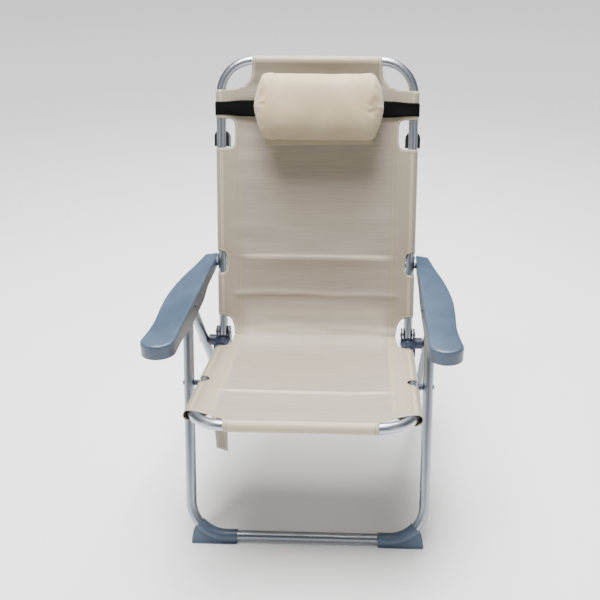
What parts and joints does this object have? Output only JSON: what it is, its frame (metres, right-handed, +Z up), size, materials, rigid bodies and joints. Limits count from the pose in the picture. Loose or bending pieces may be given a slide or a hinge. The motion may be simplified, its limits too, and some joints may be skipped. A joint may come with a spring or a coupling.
{
  "type": "folding beach chair",
  "caption": "Folding beach chair with tubular metal frames, a fabric sling seat and back, moulded armrests, a reclining backrest and a strapped head pillow.",
  "frame": {"origin": "on the floor under the middle of the chair, halfway between its frontmost and rearmost points", "axes": "+Z up, -Y towards the front of the chair, +X to the right seen from the front"},
  "size_m": [0.6018, 0.6684, 0.9239],
  "materials": {
    "tube": "satin anodised",
    "pin": "turned, zinc plated",
    "dark_plastic": "moulded, fine grain",
    "armrest": "moulded, soft sheen",
    "shoe": "moulded, fine grain",
    "black_plastic": "moulded",
    "canvas": "plain woven polyester canvas",
    "pillow": "plain woven cover over soft filling",
    "elastic": "woven elastic webbing"
  },
  "bodies": {
    "seat": {"seat_frame": "tube", "seat_crossbar": "tube", "seat_rivets": "pin", "hinge_bracket_left": "dark_plastic", "hinge_bracket_right": "dark_plastic", "bracket_screws": "pin", "leg_spacers": "dark_plastic", "seat_sling": "canvas", "closing_strap": "canvas"},
    "back_pins": {"back_pins": "pin"},
    "backrest": {"back_frame": "tube", "back_crossbar": "tube", "back_rivets": "pin", "back_tube_plugs": "dark_plastic", "arm_spacers": "dark_plastic", "back_sling": "canvas", "head_pillow": "pillow", "pillow_strap": "elastic", "tube_clip_left": "black_plastic", "tube_clip_right": "black_plastic", "clip_rivets": "pin"},
    "arm_pin_left": {"arm_pin_left": "pin"},
    "arm_pin_right": {"arm_pin_right": "pin"},
    "armrest_left": {"armrest_left": "armrest", "rack_left": "dark_plastic", "rack_screws_left": "pin"},
    "armrest_right": {"armrest_right": "armrest", "rack_right": "dark_plastic", "rack_screws_right": "pin"},
    "front_leg_pins": {"front_leg_pins": "pin"},
    "front_legs": {"front_leg_frame": "tube", "front_foot_left": "shoe", "front_foot_right": "shoe", "front_leg_bolts": "pin", "front_leg_plugs": "dark_plastic"},
    "rear_leg_pins": {"rear_leg_pins": "pin"},
    "rear_legs": {"rear_leg_frame": "tube", "rear_foot_left": "shoe", "rear_foot_right": "shoe", "rear_leg_end_left": "dark_plastic", "rear_leg_end_right": "dark_plastic", "rack_pins": "pin"}
  },
  "joints": [
    {"name": "back_fold", "type": "hinge", "parent": "seat", "child": "back_pins", "pos_m": [0, 0.11071, 0.322], "axis": [1, 0, 0], "range_deg": [0, 88]},
    {"name": "back_recline", "type": "hinge", "parent": "back_pins", "child": "backrest", "pos_m": [0, 0.11071, 0.322], "axis": [-1, 0, 0], "range_deg": [0, 20]},
    {"name": "front_leg_fold", "type": "hinge", "parent": "seat", "child": "front_leg_pins", "pos_m": [0, -0.1356, 0.33673], "axis": [1, 0, 0], "range_deg": [0, 88]},
    {"name": "front_leg_recline", "type": "hinge", "parent": "front_leg_pins", "child": "front_legs", "pos_m": [0, -0.1356, 0.33673], "axis": [-1, 0, 0], "range_deg": [0, 20]},
    {"name": "rear_leg_fold", "type": "hinge", "parent": "seat", "child": "rear_leg_pins", "pos_m": [0, 0.10728, 0.29956], "axis": [1, 0, 0], "range_deg": [0, 39.2]},
    {"name": "rear_leg_recline", "type": "hinge", "parent": "rear_leg_pins", "child": "rear_legs", "pos_m": [0, 0.10728, 0.29956], "axis": [-1, 0, 0], "range_deg": [-9.5, 0]},
    {"name": "arm_fold_left", "type": "hinge", "parent": "backrest", "child": "arm_pin_left", "pos_m": [0, 0.16633, 0.47734], "axis": [1, 0, 0], "range_deg": [-88, 0]},
    {"name": "arm_recline_left", "type": "hinge", "parent": "arm_pin_left", "child": "armrest_left", "pos_m": [0, 0.16633, 0.47734], "axis": [-1, 0, 0], "range_deg": [-20, 0]},
    {"name": "arm_fold_right", "type": "hinge", "parent": "backrest", "child": "arm_pin_right", "pos_m": [0, 0.16633, 0.47734], "axis": [1, 0, 0], "range_deg": [-88, 0]},
    {"name": "arm_recline_right", "type": "hinge", "parent": "arm_pin_right", "child": "armrest_right", "pos_m": [0, 0.16633, 0.47734], "axis": [-1, 0, 0], "range_deg": [-20, 0]}
  ],
  "couplings": [
    {"joint": "front_leg_fold", "follows": "back_fold", "ratio": 1},
    {"joint": "rear_leg_fold", "follows": "back_fold", "ratio": 0.444},
    {"joint": "arm_fold_left", "follows": "back_fold", "ratio": -1},
    {"joint": "arm_fold_right", "follows": "back_fold", "ratio": -1},
    {"joint": "front_leg_recline", "follows": "back_recline", "ratio": 1},
    {"joint": "rear_leg_recline", "follows": "back_recline", "ratio": -0.47},
    {"joint": "arm_recline_left", "follows": "back_recline", "ratio": -1},
    {"joint": "arm_recline_right", "follows": "back_recline", "ratio": -1}
  ]
}
